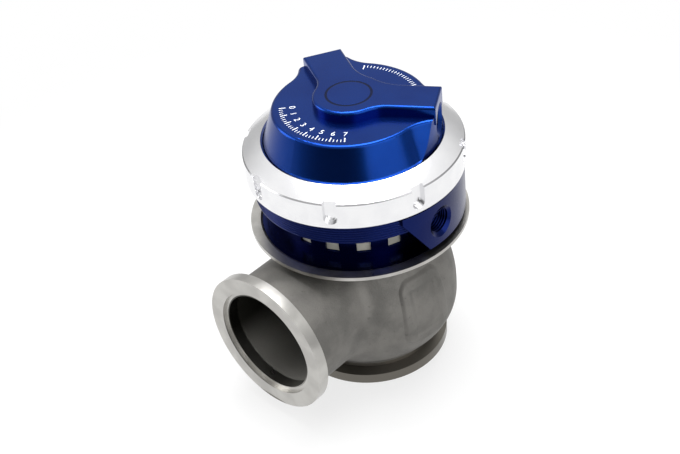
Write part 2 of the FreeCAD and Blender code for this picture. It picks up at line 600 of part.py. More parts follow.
# ---------------------------------------------------------------- cap and collar
def shoulder_plan(drawn):
    """Round shoulder that flares out to the ends of the two arms through concave arcs."""
    corner_r = "sqrt(arm_reach ^ 2 + (arm_wide / 2 + arm_ledge) ^ 2)"
    corner_turn = "atan((arm_wide / 2 + arm_ledge) / arm_reach) / 1deg"
    centre_r = "(shoulder_r + flare_r)"
    away = (f"(acos(({centre_r} ^ 2 + {corner_r} ^ 2 - flare_r ^ 2) / (2 * {centre_r} * {corner_r}))"
            f" / 1deg + {corner_turn})")

    def at(radius, turn):
        return f"({radius}) * cos(({turn}) * 1deg)", f"({radius}) * sin(({turn}) * 1deg)"

    right, left = ARM_ANGLES
    outline(drawn, [
        (*at("shoulder_r", "-90"), "shoulder_r"),
        (*at("shoulder_r", f"{right} - {away}"), "-flare_r"),
        (*at(corner_r, f"{right} - {corner_turn}"),),
        (*at(corner_r, f"{right} + {corner_turn}"), "-flare_r"),
        (*at("shoulder_r", f"{right} + {away}"), "shoulder_r"),
        (*at("shoulder_r", f"{left} - {away}"), "-flare_r"),
        (*at(corner_r, f"{left} - {corner_turn}"),),
        (*at(corner_r, f"{left} + {corner_turn}"), "-flare_r"),
        (*at("shoulder_r", f"{left} + {away}"), "shoulder_r")])


def arm_plan(drawn, turn, inner, outer, half):
    """A straight bar along one arm, from inner to outer and half wide to each side."""
    cos, sin = f"cos({turn} * 1deg)", f"sin({turn} * 1deg)"
    outline(drawn, [
        (f"({along}) * {cos} - ({across}) * {sin}", f"({along}) * {sin} + ({across}) * {cos}")
        for along, across in ((inner, f"-({half})"), (outer, f"-({half})"), (outer, half), (inner, half))])


def make_cap():
    """Spring housing: tapered shoulder, and a plateau whose two arms end in flat tapped faces."""
    owner = body("top_cap")
    wall_low = "(collar_top - cap_foot)"
    plan = sketch_on(owner, "shoulder_plan", "XY_Plane", z="shoulder_top")
    shoulder_plan(plan)
    shoulder = pushed(owner, "shoulder", plan, f"shoulder_top - {wall_low}", outwards=False)
    bind(shoulder, TaperAngle=f"atan((cap_wall_r - shoulder_r) / (shoulder_top - {wall_low}))")
    def shoulder_edge(edge):
        return edge.BoundBox.ZLength < 0.01 and edge.BoundBox.ZMax > number("shoulder_top") - 0.01 \
            and edge.Curve.TypeId != "Part::GeomLine"

    rounded(owner, "shoulder_rounding", shoulder, shoulder_edge, "shoulder_round")
    turned(owner, "shoulder_limit", [
        ("cap_wall_r", f"{wall_low} - 1"), ("cap_wall_r * 1.4", f"{wall_low} - 1"),
        ("cap_wall_r * 1.4", "shoulder_top + 1"), ("cap_wall_r", "shoulder_top + 1")], cut=True)
    for turn in ARM_ANGLES:
        flat = sketch_on(owner, f"arm_end_{turn}_plan", "XY_Plane", z="shoulder_top + 1")
        arm_plan(flat, turn, "arm_reach", "cap_wall_r * 1.4", "arm_wide")
        pushed(owner, f"arm_end_{turn}", flat, f"shoulder_top + 1 - {wall_low}", cut=True)

    turned(owner, "rim", [
        ("0", "cap_low"), ("cap_rim_r", "cap_low"), ("cap_rim_r", "cap_rim_top"),
        ("cap_wall_r", "cap_rim_top"), ("cap_wall_r", wall_low), ("0", wall_low)])
    hub_plan = sketch_on(owner, "hub_plan", "XY_Plane", z="shoulder_top - plateau_sink")
    circle(hub_plan, "hub_r")
    pushed(owner, "hub", hub_plan, "plateau_top - shoulder_top + plateau_sink")
    for turn in ARM_ANGLES:
        side = sketch_on(owner, f"arm_{turn}_plan", "XY_Plane", z="shoulder_top - plateau_sink")
        arm_plan(side, turn, "0", "arm_reach", "arm_wide / 2")
        arm = pushed(owner, f"arm_{turn}", side, "plateau_top - shoulder_top + plateau_sink")

    def corner_beside_hub(front):
        def wanted(edge):
            middle = edge.CenterOfMass
            return edge.BoundBox.ZLength > 1 and edge.BoundBox.ZMax > number("plateau_top") - 0.1 \
                and middle.distanceToLine(V(0, 0, 0), V(0, 0, 1)) < number("hub_r") + 1 \
                and (middle.y < number("hub_r") * 0.5) == front
        return wanted

    rounded(owner, "front_blends", arm, corner_beside_hub(True), "arm_blend")
    rounded(owner, "rear_blends", owner.Tip, corner_beside_hub(False), "crotch_blend")

    def plateau_edge(edge):
        return edge.BoundBox.ZLength < 0.01 and edge.BoundBox.ZMax > number("plateau_top") - 0.1

    rounded(owner, "plateau_rounding", owner.Tip, plateau_edge, "plateau_round")

    turned(owner, "spring_room", [
        ("0", "cap_low"), ("chamber_wall_r + diaphragm_thick + 0.4", "cap_low"),
        ("cap_bore_r", "cap_rim_top"), ("cap_bore_r", "spring_room_low - 1"),
        ("spring_room_r", "spring_room_low"), ("spring_room_r", "ceiling"), ("stop_r", "ceiling"),
        ("stop_r", "stop_low"), ("0", "stop_low")], cut=True)
    for turn in ARM_ANGLES:
        drill_port(owner, f"cap_port_{turn}", str(turn), "arm_reach", "cap_port_level", "cap_port_deep")
        drill_feed(owner, f"cap_feed_{turn}", str(turn), "arm_reach - cap_port_deep",
                   "cap_port_level", "spring_room_r")


def make_collar():
    """Locking collar: threaded bore, overhanging lip, and slots with a drilled foot for a spanner."""
    owner = body("locking_collar")
    turned(owner, "collar_ring", [
        ("collar_bore_r", "collar_low"), ("collar_r - collar_chamfer", "collar_low"),
        ("collar_r", "collar_low + collar_chamfer"), ("collar_r", "collar_wall_top - collar_edge"),
        ("collar_r - collar_edge", "collar_wall_top", "collar_r"),
        ("collar_lip_r + collar_lip_edge", "collar_top"),
        ("collar_lip_r", "collar_top - collar_lip_edge"), ("collar_lip_r", "lip_low"),
        ("collar_bore_r", "lip_low")])
    cut = radial_sketch(owner, "slot_outline", "slot_turn", "collar_r + 1", "0")
    outline(cut, [
        ("-slot_wide / 2", "slot_low + slot_wide / 2", "slot_wide / 2 + 0.0001"),
        ("0", "slot_low", "slot_wide / 2 + 0.0001"),
        ("slot_wide / 2", "slot_low + slot_wide / 2"), ("slot_wide / 2", "collar_top + 1"),
        ("-slot_wide / 2", "collar_top + 1")])
    slot = pushed(owner, "slot", cut, "collar_r + 1 - slot_floor_r", cut=True)
    polar(owner, "slots_round", slot, "slots")
    drill = radial_sketch(owner, "slot_drill_outline", "slot_turn", "collar_r + 1",
                          "slot_low + slot_wide / 2")
    circle(drill, "slot_drill_r")
    pin_hole = pushed(owner, "slot_drill", drill, "collar_r + 1 - collar_bore_r - slot_drill_end",
                      cut=True)
    polar(owner, "slot_drills", pin_hole, "slots")


# ---------------------------------------------------------------- build, test and write
make_housing()
make_seat()
make_valve()
make_guide()
make_gasket()
make_base()
make_screws()
make_screw_washers()
make_stem_seal()
ring("lower_plate", "thread_bore_r", "plate_r", "plate_low", "diaphragm_low")
make_diaphragm()
make_piston()
ring("stem_washer", "thread_bore_r", "nut_washer_r", "spring_low", "nut_low")
make_nut()
make_spring("outer_spring", "outer_coil_r", "outer_wire_r", "outer_turns")
make_spring("inner_spring", "inner_coil_r", "inner_wire_r", "inner_turns")
make_cap()
make_collar()
doc.recompute()

failed = [item.Label for item in doc.Objects if {"Invalid", "Error"} & set(item.State)]
if failed:
    raise RuntimeError(f"objects that failed: {failed}")
for node in [item for item in doc.Objects if item.TypeId == "PartDesign::Body"]:
    shape = node.Shape
    if shape.isNull() or not shape.isValid() or not shape.Solids:
        raise RuntimeError(f"{node.Label} has no sound solid")
    shape.exportStep(f"parts/{node.Label}.step")
    print(f"{node.Label}: {len(shape.Solids)} solids, {shape.Volume / 1000:.2f} cm3")
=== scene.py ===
# %% [markdown]
# # A turbo wastegate, dressed in Blender
# The construction comes from CAD as a fixed frame: every piece is already at its real size and place.
# What is left for Blender is the finish of each surface, the fine detail that a solid modeller leaves
# out (the threads, the sheets in the windows, the etched scale, the raised cast pad), and the light and
# the camera.

# %% Load the frame
import math

import bpy
import bmesh
from mathutils import Matrix, Vector
from mathutils.bvhtree import BVHTree


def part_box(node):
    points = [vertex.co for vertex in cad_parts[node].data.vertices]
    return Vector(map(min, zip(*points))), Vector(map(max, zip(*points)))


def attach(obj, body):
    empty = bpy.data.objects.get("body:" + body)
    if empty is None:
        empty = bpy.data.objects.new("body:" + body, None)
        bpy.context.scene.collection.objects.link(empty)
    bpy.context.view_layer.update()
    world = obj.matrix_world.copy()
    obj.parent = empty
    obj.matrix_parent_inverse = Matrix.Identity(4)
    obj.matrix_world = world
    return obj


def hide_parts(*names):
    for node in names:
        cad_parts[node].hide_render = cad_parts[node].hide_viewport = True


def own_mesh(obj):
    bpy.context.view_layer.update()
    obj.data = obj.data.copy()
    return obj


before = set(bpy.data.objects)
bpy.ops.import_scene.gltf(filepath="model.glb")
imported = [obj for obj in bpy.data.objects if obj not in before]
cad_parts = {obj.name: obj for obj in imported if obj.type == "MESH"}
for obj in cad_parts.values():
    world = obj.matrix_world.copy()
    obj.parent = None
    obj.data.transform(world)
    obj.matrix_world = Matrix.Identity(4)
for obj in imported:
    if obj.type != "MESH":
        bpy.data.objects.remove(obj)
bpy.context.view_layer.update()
MM = 0.001
print("nodes:", ", ".join(sorted(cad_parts)))

# %% [markdown]
# ## Camera
# The part is seen from above and to its right, with the outlet towards the viewer's left. A camera is
# easiest to reason about as a turn round the part, a rise over it, and a roll about its own line of
# sight, so the matrix is built from those three angles and a distance.

# %% Place the camera
VIEW_TURN = math.radians(46.05)
VIEW_RISE = math.radians(37.56)
VIEW_ROLL = math.radians(-6.33)
VIEW_DISTANCE = 431.75 * MM
AIM = Vector((-5.32, -5.52, 50.54)) * MM

camera_data = bpy.data.cameras.new("view")
camera_data.lens = 63.92
camera_data.sensor_width = 36.0
camera = bpy.data.objects.new("view", camera_data)
bpy.context.collection.objects.link(camera)
facing = (Matrix.Rotation(VIEW_TURN, 3, "Z") @ Matrix.Rotation(math.pi / 2 - VIEW_RISE, 3, "X")
          @ Matrix.Rotation(VIEW_ROLL, 3, "Z"))
camera.matrix_world = Matrix.Translation(AIM + facing @ Vector((0, 0, VIEW_DISTANCE))) @ facing.to_4x4()
bpy.context.scene.camera = camera
bpy.context.scene.view_settings.view_transform = "Standard"
print("camera at", [round(v, 3) for v in camera.matrix_world.translation])


# %% [markdown]
# ## Shader maths as Python
# A node tree that mixes masks and noises grows dozens of Math nodes. Wrapping a socket in a small class
# lets ordinary Python operators add those nodes, so a finish reads like a formula.

# %% A socket that can be used in formulas
class Wire:
    """One output socket of a node tree, which + - * / and a few methods turn into Math nodes."""

    def __init__(self, graph, socket):
        self.graph, self.socket = graph, socket

    def maths(self, operation, *values):
        return self.graph.node("ShaderNodeMath", {"operation": operation}, dict(enumerate(values)))

    def __add__(self, other):
        return self.maths("ADD", self, other)

    __radd__ = __add__

    def __sub__(self, other):
        return self.maths("SUBTRACT", self, other)

    def __rsub__(self, other):
        return self.maths("SUBTRACT", other, self)

    def __mul__(self, other):
        return self.maths("MULTIPLY", self, other)

    __rmul__ = __mul__

    def __truediv__(self, other):
        return self.maths("DIVIDE", self, other)

    def larger(self, other):
        return self.maths("MAXIMUM", self, other)

    def root(self):
        return self.maths("SQRT", self)

    def rings(self, pitch):
        """A wave from -1 to 1 that repeats every pitch metres."""
        return self.maths("SINE", self * (2 * math.pi / pitch))

    def step(self, low, high):
        """0 below low, 1 above high, smooth between; low may be the larger one."""
        return self.graph.node("ShaderNodeMapRange", {"interpolation_type": "SMOOTHSTEP", "clamp": True},
                               {"Value": self, "From Min": low, "From Max": high})

    def band(self, low, high, soft):
        """1 between low and high, with soft edges."""
        return self.step(low - soft, low) * self.step(high + soft, high)


# %% [markdown]
# The formulas need something to start from. A graph holds one node tree and the place that its textures
# and masks read, and makes any other node from its type, its settings and its sockets. The world uses
# it as it is.

# %% A node tree that is written by hand
class Graph:
    """A node tree that is being written, with the place that its textures and masks read."""

    def __init__(self, tree, coordinates):
        self.tree = tree
        self.place = self.node("ShaderNodeTexCoord", out=coordinates)
        self.x, self.y, self.z = (self.node("ShaderNodeSeparateXYZ", sockets={0: self.place}, out=axis)
                                  for axis in "XYZ")

    def node(self, kind, settings=None, sockets=None, out=0):
        made = self.tree.nodes.new(kind)
        for name, value in (settings or {}).items():
            setattr(made, name, value)
        for name, value in (sockets or {}).items():
            self.feed(made.inputs[name], value)
        return Wire(self, made.outputs[out])

    def feed(self, socket, value):
        if isinstance(value, Wire):
            self.tree.links.new(value.socket, socket)
        else:
            socket.default_value = value


# %% [markdown]
# A finish is a graph for one material. It adds the principled shader and the few things that nearly
# every surface here is made of: a mixed colour, a noise, a distance from an axis, and relief.

# %% A material that is written by hand
class Finish(Graph):
    """A material that is being written: its tree, its principled shader and its object coordinates."""

    def __init__(self, name, **sockets):
        self.material = bpy.data.materials.new(name)
        self.material.use_nodes = True
        super().__init__(self.material.node_tree, "Object")
        self.shader = self.tree.nodes["Principled BSDF"]
        self.set(**sockets)

    def set(self, **sockets):
        """Set the shader's sockets: base_color feeds Base Color, and so on."""
        for name, value in sockets.items():
            self.feed(self.shader.inputs[name.replace("_", " ").title().replace("Ior", "IOR")], value)

    def mix(self, factor, low, high):
        """A colour between low and high."""
        mixed = self.tree.nodes.new("ShaderNodeMix")
        mixed.data_type = "RGBA"
        for index, value in ((0, factor), (6, low), (7, high)):
            self.feed(mixed.inputs[index], value)
        return Wire(self, mixed.outputs[2])

    def noise(self, size, detail=2.0, rough=0.5):
        """Noise about 0.5 whose blotches are about size metres across."""
        return self.node("ShaderNodeTexNoise", {"normalize": True},
                         {"Vector": self.place, "Scale": 1 / size, "Detail": detail, "Roughness": rough})

    def radius(self, level=None):
        """Distance from the valve axis, or from the outlet's axis when its level is given."""
        across = self.y if level is None else self.z - level
        return (self.x * self.x + across * across).root()

    def bump(self, height, depth, strength):
        """Relief of the given depth in metres, from a height of 0 to 1."""
        self.feed(self.shader.inputs["Normal"], self.node(
            "ShaderNodeBump", sockets={"Strength": strength, "Distance": depth, "Height": height},
            out="Normal"))


# %% [markdown]
# A CAD node arrives with the plain materials of its pack. Dressing it puts a finish in each of its
# slots, or in a first slot where it has none, and leaves its shape alone.

# %% Put a finish on CAD nodes
def dress(material, *nodes):
    """Give CAD nodes a finish."""
    print(f"{material.name}: {', '.join(nodes)}")
    for node in nodes:
        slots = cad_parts[node].material_slots
        if not slots:
            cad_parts[node].data.materials.append(material)
        for slot in slots:
            slot.material = material


# %% [markdown]
# ## The casting
# The housing is one investment casting in stainless steel. The raw skin is bead-blasted: matt, warm grey,
# a little blotchy. The flange faces, the dish and the rim under the actuator are turned on a lathe, so
# they are bright and carry fine rings. The outlet's bore has painted light on its lower part and painted
# shade above it. One material does it all, and masks on the object's own coordinates say which metal is
# where, because the machined zones are simple bands.

# %% Cast and machined steel
housing_low, housing_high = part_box("valve_housing")
OUTLET_LEVEL = 31.8 * MM
OUTLET_FACE, OUTLET_TURNED = housing_low[1], 5.0 * MM
INLET_TURNED = 6.5 * MM
DISH_TOP, DISH_TURNED = housing_high[2], 2.2 * MM
BORE_R = 18.9 * MM
BORE_FRONT, BORE_DEEP = -21 * MM, -24 * MM
# Heights in the outlet's bore over which the painted shade takes over from the painted light.
BORE_SHADE_LOW, BORE_SHADE_HIGH = 15 * MM, 29 * MM
BRUSHED = ((0.42, 0.41, 0.39, 1), (0.52, 0.51, 0.485, 1))
BLASTED = ((0.155, 0.151, 0.142, 1), (0.215, 0.208, 0.195, 1))
PITTED = (0.09, 0.085, 0.08, 1)
# A darker, browner metal for the turned inlet flange than for the other turned faces.
INLET_DARK_METAL = (0.150, 0.140, 0.122, 1)
# Painted light for the bore's lower part, and painted shade for the rest of the bore.
BORE_LIT_GREY, BORE_SHADE = (0.42, 0.41, 0.38, 1), (0.010, 0.010, 0.006, 1)


def cast_steel():
    """Blasted skin, turned flanges and dish, and a bore with painted light and shade, told apart by masks."""
    steel = Finish("cast_steel", metallic=1.0)
    blotch = steel.noise(9 * MM, 3)
    grit = steel.noise(0.5 * MM, 2, 0.6)
    pits = steel.noise(1.8 * MM, 3, 0.6)
    outlet_r = steel.radius(OUTLET_LEVEL)
    valve_r = steel.radius()
    outlet_flange = steel.y.step(OUTLET_FACE + OUTLET_TURNED + 0.6 * MM, OUTLET_FACE + OUTLET_TURNED)
    inlet_flange = steel.z.step(INLET_TURNED + 0.4 * MM, INLET_TURNED)
    dish = steel.z.step(DISH_TOP - DISH_TURNED - 0.3 * MM, DISH_TOP - DISH_TURNED)
    turned = outlet_flange.larger(inlet_flange.larger(dish))
    outlet_rings = outlet_r.rings(0.35 * MM)
    valve_rings = (valve_r + steel.z * 0.7).rings(0.4 * MM)
    rings = outlet_rings * outlet_flange + valve_rings * (1 - outlet_flange)
    skin = steel.mix(blotch.step(0.3, 0.7), *BLASTED)
    skin = steel.mix(pits.step(0.62, 0.75) * 0.35, skin, PITTED)
    bright = steel.mix(blotch.step(0.35, 0.65), *BRUSHED)
    flange_metal = steel.mix(inlet_flange, bright, INLET_DARK_METAL)
    colour = steel.mix(turned, skin, flange_metal)
    bore = outlet_r.step(BORE_R + 0.3 * MM, BORE_R) * steel.y.step(BORE_FRONT, BORE_DEEP)
    # Painted light and shade: the bore is a light grey along its lower part and painted dark above it.
    colour = steel.mix(bore * 0.8, colour, BORE_LIT_GREY)
    colour = steel.mix(bore * steel.z.step(BORE_SHADE_LOW, BORE_SHADE_HIGH) * 0.93, colour, BORE_SHADE)
    rough = 0.62 + (grit - 0.5) * 0.2
    steel.set(base_color=colour, roughness=rough * (1 - turned) + turned * (0.24 + blotch * 0.12))
    steel.bump(grit * (1 - turned) + (rings * 0.08) * turned, 0.12 * MM, 0.6)
    return steel.material


CAST_STEEL = cast_steel()
dress(CAST_STEEL, "valve_housing")
print("cast steel:", len(CAST_STEEL.node_tree.nodes), "nodes")


# %% [markdown]
# ## Blue anodising
# The cap and the base are turned from aluminium, lightly blasted, and anodised: a clear dyed layer over
# metal. A metallic shader with a saturated base colour gives the metal, and a thin clear coat gives the
# second, whiter reflection of the sealed surface. The cap also carries one fine engraved ring.

# %% Anodised blue
PLATEAU_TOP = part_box("top_cap")[1][2]
RING_R, RING_HALF = 7.6 * MM, 0.35 * MM
# Painted shade for the inside of the cut ring.
GROOVE_SHADE_BLUE = (0.001, 0.004, 0.025, 1)


def anodised(name, colour, deep, rough, sealed, has_ring):
    """Blue over metal under a sealed skin; the cap has a fine ring cut into its plateau, with painted shade
    in its groove.
    """
    blue = Finish(name, metallic=1.0, coat_roughness=0.08, coat_weight=sealed)
    grain = blue.noise(0.35 * MM, 2, 0.6)
    drift = blue.noise(14 * MM, 2)
    skin = blue.mix(drift.step(0.3, 0.7), colour, deep)
    relief = grain
    if has_ring:
        cut = blue.radius().band(RING_R - RING_HALF, RING_R + RING_HALF, 0.15 * MM)
        cut = cut * blue.z.step(PLATEAU_TOP - 0.3 * MM, PLATEAU_TOP - 0.1 * MM)
        # Painted shade: the ring's groove is darkened in colour as well as cut in the bump.
        skin = blue.mix(cut * 0.85, skin, GROOVE_SHADE_BLUE)
        relief = grain - cut * 3
    blue.set(base_color=skin, roughness=rough + (grain - 0.5) * 0.08)
    blue.bump(relief, 0.02 * MM, 0.35)
    return blue.material


BLUE_CAP = anodised("blue_cap", colour=(0.005, 0.037, 0.225, 1), deep=(0.004, 0.031, 0.200, 1),
                    rough=0.25, sealed=0.04, has_ring=True)
# Painted shade: the base has the same anodising as the cap, made much darker for the shade under the collar.
SHADED_BLUE_BASE = anodised("blue_base", colour=(0.005, 0.012, 0.085, 1), deep=(0.004, 0.009, 0.070, 1),
                     rough=0.26, sealed=0.03, has_ring=False)
dress(BLUE_CAP, "top_cap")
dress(SHADED_BLUE_BASE, "actuator_base")


# %% [markdown]
# ## The polished collar
# The locking collar is aluminium polished on the lathe: nearly white in a white room, with very fine
# rings round the axis that stretch its highlights, and a painted dark reflection along its upper edge.

# %% Polished aluminium
WALL_TOP = 87.6 * MM
COLLAR_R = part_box("locking_collar")[1][0]
POLISHED = ((0.86, 0.86, 0.87, 1), (0.82, 0.82, 0.835, 1))
# Painted reflection: the grey of a dark line at the bevel's edge.
DARK_EDGE_REFLECTION = (0.20, 0.20, 0.21, 1)


def polished_ring():
    """Bright aluminium with lathe rings and a painted dark reflection along the wall's upper edge."""
    metal = Finish("polished_collar", metallic=1.0)
    valve_r = metal.radius()
    wear = metal.noise(6 * MM, 3)
    rings = (valve_r * 1.3 + metal.z).rings(0.30 * MM)
    shine = metal.mix(wear.step(0.35, 0.65), *POLISHED)
    # Painted reflection: a thin grey line along the wall's upper edge.
    edge = metal.z.band(WALL_TOP - 0.38 * MM, WALL_TOP - 0.02 * MM, 0.1 * MM)
    edge = edge * valve_r.step(COLLAR_R - 0.5 * MM, COLLAR_R - 0.4 * MM)
    metal.set(base_color=metal.mix(edge * 0.7, shine, DARK_EDGE_REFLECTION), roughness=0.16 + wear * 0.08)
    metal.bump(rings * 0.5 + 0.5, 0.004 * MM, 0.5)
    return metal.material


dress(polished_ring(), "locking_collar")
print("collar radius:", round(COLLAR_R / MM, 2), "mm")


# %% [markdown]
# ## Inner pieces
# Behind the casing are turned steel, bronze, springs and rubber. They share a few simple finishes with
# fine grain, so that the part also looks right when it is opened up.

# %% Finishes of the inner pieces
def grained(name, colour, rough, metallic=1.0, grain_size=0.6, depth=0.02):
    """A cloudy colour with fine grain; grain_size and depth are in millimetres."""
    made = Finish(name, metallic=metallic)
    grain = made.noise(grain_size * MM, 2, 0.6)
    cloud = made.noise(5 * MM, 2)
    shade = tuple(channel * 0.8 for channel in colour[:3]) + (1,)
    made.set(base_color=made.mix(cloud.step(0.3, 0.7), colour, shade), roughness=rough + (grain - 0.5) * 0.1)
    made.bump(grain, depth * MM, 0.5)
    return made.material


def turned_metal(name, colour, rough):
    """Bare metal with the fine rings of a lathe."""
    made = Finish(name, metallic=1.0)
    rings = (made.radius() + made.z).rings(0.35 * MM)
    cloud = made.noise(5 * MM, 2)
    shade = tuple(channel * 0.85 for channel in colour[:3]) + (1,)
    made.set(base_color=made.mix(cloud.step(0.3, 0.7), colour, shade), roughness=rough + cloud * 0.08)
    made.bump(rings * 0.5 + 0.5, 0.008 * MM, 0.5)
    return made.material


dress(turned_metal("valve_steel", (0.40, 0.38, 0.36, 1), rough=0.32), "valve")
dress(turned_metal("seat_steel", (0.50, 0.49, 0.47, 1), rough=0.26), "valve_seat")
dress(turned_metal("bronze", (0.52, 0.30, 0.13, 1), rough=0.30), "valve_guide", "stem_bush")
dress(turned_metal("plate_aluminium", (0.62, 0.62, 0.64, 1), rough=0.28), "lower_plate", "piston_cup")
dress(turned_metal("zinc_steel", (0.48, 0.48, 0.50, 1), rough=0.30), "seal_washer", "seal_circlip",
      "stem_washer", "stem_nut", "base_screws", "base_screw_washers")
dress(grained("spring_steel", (0.28, 0.28, 0.30, 1), rough=0.34), "outer_spring", "inner_spring")
dress(grained("gasket_sheet", (0.10, 0.095, 0.085, 1), rough=0.75, metallic=0.0, grain_size=0.8, depth=0.08),
      "heat_gasket")
dress(grained("silicone_rubber", (0.025, 0.022, 0.022, 1), rough=0.55, metallic=0.0, grain_size=0.5,
              depth=0.05), "diaphragm", "stem_o_ring")
print("materials so far:", len(bpy.data.materials))


# %% [markdown]
# ## Geometry Nodes: one tree for every thread
# The base carries a fine outside thread for the collar, and every port is tapped. A thread is a ridge
# wound along a spiral, which is exactly a rule, so one node tree makes them all: a spiral curve, swept
# with a small six-sided ridge. Its sizes are inputs of the tree, and each use sets them by identifier.

# %% A tree that winds a thread
def thread_tree():
    """A spiral of the given radius, pitch and turns, swept with a small ridge."""
    tree = bpy.data.node_groups.new("wound_thread", "GeometryNodeTree")
    face = tree.interface
    face.new_socket("Geometry", in_out="OUTPUT", socket_type="NodeSocketGeometry")
    for name, kind, value in (("Radius", "Float", 0.035), ("Pitch", "Float", 0.001), ("Turns", "Float", 5.0),
                              ("Ridge", "Float", 0.0003), ("Steps per turn", "Int", 96),
                              ("Material", "Material", None)):
        socket = face.new_socket(name, in_out="INPUT", socket_type=f"NodeSocket{kind}")
        if value is not None:
            socket.default_value = value
    sizes = tree.nodes.new("NodeGroupInput").outputs
    rise = tree.nodes.new("ShaderNodeMath")
    rise.operation = "MULTIPLY"
    spiral = tree.nodes.new("GeometryNodeCurveSpiral")
    ridge = tree.nodes.new("GeometryNodeCurvePrimitiveCircle")
    ridge.inputs["Resolution"].default_value = 6
    swept = tree.nodes.new("GeometryNodeCurveToMesh")
    swept.inputs["Fill Caps"].default_value = True
    real = tree.nodes.new("GeometryNodeRealizeInstances")
    coated = tree.nodes.new("GeometryNodeSetMaterial")
    out = tree.nodes.new("NodeGroupOutput")
    for start, end in (
            (sizes["Pitch"], rise.inputs[0]), (sizes["Turns"], rise.inputs[1]),
            (sizes["Steps per turn"], spiral.inputs["Resolution"]),
            (sizes["Turns"], spiral.inputs["Rotations"]),
            (sizes["Radius"], spiral.inputs["Start Radius"]), (sizes["Radius"], spiral.inputs["End Radius"]),
            (rise.outputs[0], spiral.inputs["Height"]), (sizes["Ridge"], ridge.inputs["Radius"]),
            (spiral.outputs["Curve"], swept.inputs["Curve"]),
            (ridge.outputs["Curve"], swept.inputs["Profile Curve"]),
            (swept.outputs["Mesh"], real.inputs["Geometry"]), (real.outputs[0], coated.inputs["Geometry"]),
            (sizes["Material"], coated.inputs["Material"]), (coated.outputs[0], out.inputs[0])):
        tree.links.new(start, end)
    return tree


THREAD = thread_tree()
print("thread tree:", len(THREAD.nodes), "nodes")


# %% [markdown]
# A modifier is only a recipe. To get a piece that can be exported, the object is evaluated once and the
# result is stored as a plain mesh. Pieces keep their place in the mesh and their object at the origin,
# and that is what `new_piece` does for every piece below.

# %% From recipe to piece
def new_piece(name, mesh, body, material=None, place=None):
    """Put a mesh in the scene as a finished piece that rides on a body."""
    if place is not None:
        mesh.transform(place)
    if material is not None:
        mesh.materials.clear()
        mesh.materials.append(material)
    piece = bpy.data.objects.new(name, mesh)
    bpy.context.collection.objects.link(piece)
    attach(piece, body)
    print(f"{name}: {len(mesh.polygons)} faces, rides on {body}")
    return piece


def evaluated_mesh(thing):
    """The mesh of an object as its modifiers leave it; the object itself is removed."""
    bpy.context.view_layer.update()
    graph = bpy.context.evaluated_depsgraph_get()
    mesh = bpy.data.meshes.new_from_object(thing.evaluated_get(graph), depsgraph=graph)
    bpy.data.objects.remove(thing)
    return mesh


def wound_thread(name, body, slot, material, place, **sizes):
    """A thread of the given sizes, wound about Z from z 0 and then put in its place."""
    holder = bpy.data.objects.new(f"{name}_recipe", bpy.data.meshes.new(f"{name}_recipe"))
    bpy.context.collection.objects.link(holder)
    winder = holder.modifiers.new("wind", "NODES")
    winder.node_group = THREAD
    sizes["Material"] = material
    for item in THREAD.interface.items_tree:
        if item.in_out == "INPUT" and item.name.replace(" ", "_") in sizes:
            winder[item.identifier] = sizes[item.name.replace(" ", "_")]
    mesh = evaluated_mesh(holder)
    mesh.shade_smooth()
    return new_piece(name, mesh, body, material, place)


# %% [markdown]
# ## Threads
# The collar's thread shows as fine ridges between the collar and the waist. The tapped ports are pipe
# threads, so each gets a ridge just inside its wall, running inwards from the countersunk mouth.

# %% Collar thread and port threads
BASE_THREAD_R = 35.42 * MM
THREAD_LOW = 70.9 * MM
THREAD_PITCH = 0.95 * MM
HIDDEN_TURNS = 1.5
collar_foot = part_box("locking_collar")[0][2]
turns = (collar_foot - THREAD_LOW) / THREAD_PITCH + HIDDEN_TURNS
wound_thread("collar_thread", "housing", "blue_anodised", SHADED_BLUE_BASE, Matrix.Translation((0, 0, THREAD_LOW)),
             Radius=BASE_THREAD_R, Pitch=THREAD_PITCH, Turns=turns, Ridge=0.30 * MM, Steps_per_turn=144)

PORT_R = 4.4 * MM
PORT_PITCH = 0.94 * MM
PORT_MOUTH = 1.6 * MM
BASE_PORT_LEVEL = 69.0 * MM
CAP_PORT_LEVEL, CAP_PORT_START = 96.6 * MM, 28.4 * MM
base_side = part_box("actuator_base")[1][0]


def port_thread(name, body, material, turn, face_r, level, length):
    """Thread inside a port that opens outwards at an angle about the valve axis."""
    start = Matrix.Rotation(math.radians(turn), 4, "Z") @ Matrix.Translation((face_r, 0, level))
    inwards = Matrix.Rotation(-math.pi / 2, 4, "Y")
    wound_thread(name, body, "blue_anodised", material, start @ inwards, Radius=PORT_R,
                 Pitch=PORT_PITCH, Turns=length / PORT_PITCH, Ridge=0.34 * MM, Steps_per_turn=40)


for index, turn in enumerate((0, 45, 135, 180)):
    port_thread(f"base_port_thread_{index}", "housing", SHADED_BLUE_BASE, turn, base_side - PORT_MOUTH,
                BASE_PORT_LEVEL, 5.6 * MM)
for side, turn in (("right", 30), ("left", 150)):
    port_thread(f"cap_port_thread_{side}", "cap", BLUE_CAP, turn, CAP_PORT_START, CAP_PORT_LEVEL, 5.0 * MM)


# %% [markdown]
# ## Springs and diaphragm
# When the valve lifts, the plate under the springs rises with it, so the springs shorten towards the cap
# and the diaphragm is drawn up towards its clamped rim. Here each is only a plain copy of its solid that
# rides on the housing, with the CAD node hidden.


def squeezed(node):
    """A plain copy of a node that rides on the housing, with the CAD node hidden."""
    piece = new_piece(f"{node}_squeezed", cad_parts[node].data.copy(), "housing")
    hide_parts(node)
    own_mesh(piece)


squeezed("outer_spring")
squeezed("inner_spring")
squeezed("diaphragm")


# %% [markdown]
# ## Window blanks
# Each window in the waist shows a pale patch with a dark slit above it. What lies behind is hidden, so
# the simplest thing that looks so is made: a thin sheet that stands in the window and leaves a slit open.

